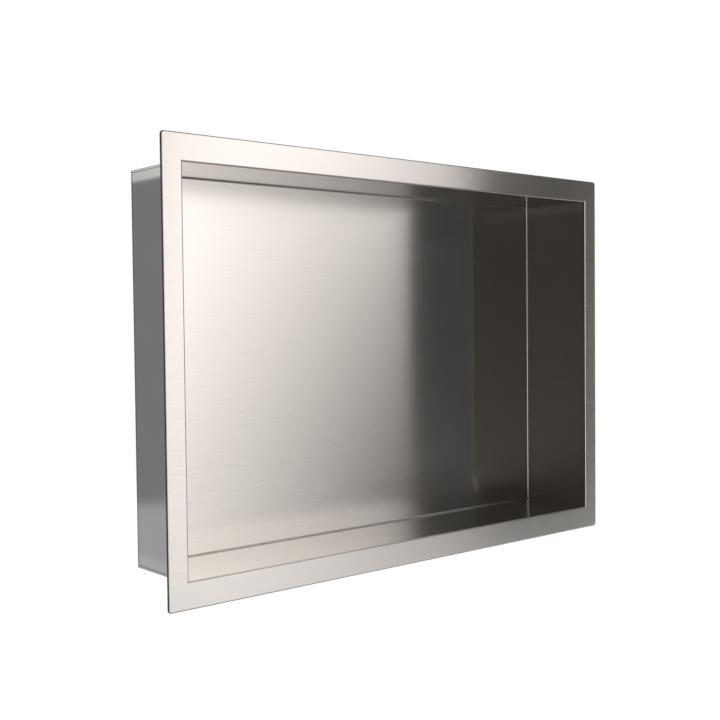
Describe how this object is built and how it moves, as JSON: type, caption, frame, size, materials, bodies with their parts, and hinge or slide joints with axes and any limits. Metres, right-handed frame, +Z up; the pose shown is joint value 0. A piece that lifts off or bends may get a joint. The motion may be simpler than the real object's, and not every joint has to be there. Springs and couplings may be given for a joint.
{
  "type": "shower niche insert",
  "caption": "Recessed wall niche of brushed stainless sheet: an open-fronted rectangular box with a flat flange round the opening, set into a shower wall to hold bottles and soap.",
  "frame": {"origin": "centre of the flange, on the plane of the wall that its back lies against", "axes": "+X to the right as seen from the room, +Y into the wall, +Z up"},
  "size_m": [0.508, 0.078, 0.356],
  "materials": {
    "brushed_stainless": "fine horizontal brushed grain"
  },
  "bodies": {
    "root": {"niche_shell": "brushed_stainless"}
  },
  "joints": []
}
